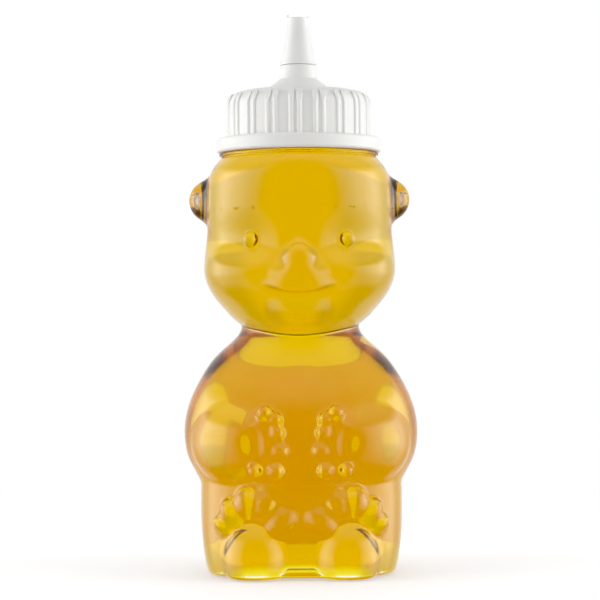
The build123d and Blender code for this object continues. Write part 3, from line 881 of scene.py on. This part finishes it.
world = bpy.data.worlds.new("studio")
bpy.context.scene.world = world
world.use_nodes = True
nodes, links = world.node_tree.nodes, world.node_tree.links
nodes.clear()
output = nodes.new("ShaderNodeOutputWorld")
path = nodes.new("ShaderNodeLightPath")
place = nodes.new("ShaderNodeTexCoord")
split = nodes.new("ShaderNodeSeparateXYZ")
links.new(place.outputs["Generated"], split.inputs["Vector"])


def background(strength=None):
    """Even white light, at full strength or at the strength from a socket."""
    node = nodes.new("ShaderNodeBackground")
    node.inputs["Color"].default_value = (1, 1, 1, 1)
    node.inputs["Strength"].default_value = 1.0
    if strength is not None:
        links.new(strength, node.inputs["Strength"])
    return node


def combined(operation, a, b):
    """The result of a sum among the world's nodes."""
    return math_node(nodes, links, operation, a, b).outputs["Value"]


def curve(source, stops):
    """A value that follows stops of (input, output), for an input from -1 to 1."""
    node = nodes.new("ShaderNodeFloatCurve")
    line = node.mapping.curves[0]
    top = max(value for at, value in stops)
    for k, (at, value) in enumerate(stops):
        spot = ((at + 1) / 2, value / top)
        if k < 2:
            line.points[k].location = spot
        else:
            line.points.new(*spot)
    node.mapping.update()
    scaled = nodes.new("ShaderNodeMapRange")
    scaled.inputs["From Min"].default_value = -1
    scaled.inputs["From Max"].default_value = 1
    links.new(source, scaled.inputs["Value"])
    links.new(scaled.outputs["Result"], node.inputs["Value"])
    return combined("MULTIPLY", node.outputs["Value"], float(top))


def switched(ray, off, on):
    """One shader, and another for rays of a kind."""
    return mixed(nodes, links, path.outputs[ray], off, on)


walls = combined("MULTIPLY", curve(split.outputs["Y"], GLOSS_AROUND), curve(split.outputs["Z"], GLOSS_HEIGHT))
walls = combined("ADD", walls, curve(split.outputs["Z"], GLOSS_CEILING))
gloss = background(combined("MAXIMUM", walls, curve(split.outputs["Y"], GLOSS_BACKDROP)))

through_front = nodes.new("ShaderNodeMapRange")
through_front.inputs["From Min"].default_value = BACKDROP_EDGE[0]
through_front.inputs["From Max"].default_value = BACKDROP_EDGE[1]
through_front.inputs["To Min"].default_value = 1.0
through_front.inputs["To Max"].default_value = BESIDE_LEVEL
across = combined("ABSOLUTE", split.outputs["X"], 0.0)
along = combined("MAXIMUM", split.outputs["Y"], LEAST_BACK)
links.new(combined("DIVIDE", across, along), through_front.inputs["Value"])
behind = background(through_front.outputs["Result"])

diffuse = background(curve(split.outputs["Y"], ROOM_LIGHT))
seen = background()

light = switched("Is Glossy Ray", diffuse.outputs["Background"], gloss.outputs["Background"])
light = switched("Is Transmission Ray", light, behind.outputs["Background"])
light = switched("Is Camera Ray", light, seen.outputs["Background"])
links.new(light, output.inputs["Surface"])

LAMP_AZIMUTH = 74.0
LAMP_DISTANCE = 0.9
LAMP_SIZE = 0.8
LAMP_LEVEL = 0.16
LAMP_AIM = (0, 0, 0.09)
LAMP_RADIANCE = 2.9


def softbox(name, azimuth):
    """A square lamp, azimuth degrees round from the front towards the right."""
    light = bpy.data.lights.new(name, "AREA")
    light.shape = "RECTANGLE"
    light.size, light.size_y = LAMP_SIZE, LAMP_SIZE
    light.energy = LAMP_RADIANCE * math.pi * LAMP_SIZE * LAMP_SIZE
    lamp = bpy.data.objects.new(name, light)
    angle = math.radians(azimuth)
    lamp.location = (LAMP_DISTANCE * math.sin(angle), -LAMP_DISTANCE * math.cos(angle), LAMP_LEVEL)
    aim = Vector(LAMP_AIM) - lamp.location
    lamp.rotation_euler = aim.to_track_quat("-Z", "Y").to_euler()
    bpy.context.scene.collection.objects.link(lamp)
    lamp.visible_camera = False
    lamp.visible_glossy = False
    lamp.visible_transmission = False


for side in (-1, 1):
    softbox(f"softbox_{side}", side * LAMP_AZIMUTH)

# Camera
CAMERA_DISTANCE = 0.55
CAMERA_LEVEL = 0.0747
VIEW_ANGLE = 0.5
CAMERA_ROLL = 0.45
LENS = 119.64
SENSOR_WIDTH = 36.0
BOUNCES = 32
view_angle = math.radians(VIEW_ANGLE)
camera_roll = math.radians(CAMERA_ROLL)
camera_data = bpy.data.cameras.new("camera")
camera_data.lens = LENS
camera_data.sensor_width = SENSOR_WIDTH
camera_data.clip_start = 0.01
camera = bpy.data.objects.new("camera", camera_data)
sideways, back = CAMERA_DISTANCE * math.sin(view_angle), CAMERA_DISTANCE * math.cos(view_angle)
camera.location = (sideways, -back, CAMERA_LEVEL)
upright = Matrix.Rotation(view_angle, 4, "Z") @ Matrix.Rotation(math.pi / 2, 4, "X")
camera.rotation_euler = (upright @ Matrix.Rotation(-camera_roll, 4, "Z")).to_euler()
bpy.context.scene.collection.objects.link(camera)
bpy.context.scene.camera = camera
bpy.context.scene.view_settings.view_transform = "Standard"
cycles = bpy.context.scene.cycles
cycles.max_bounces = cycles.transmission_bounces = cycles.transparent_max_bounces = BOUNCES
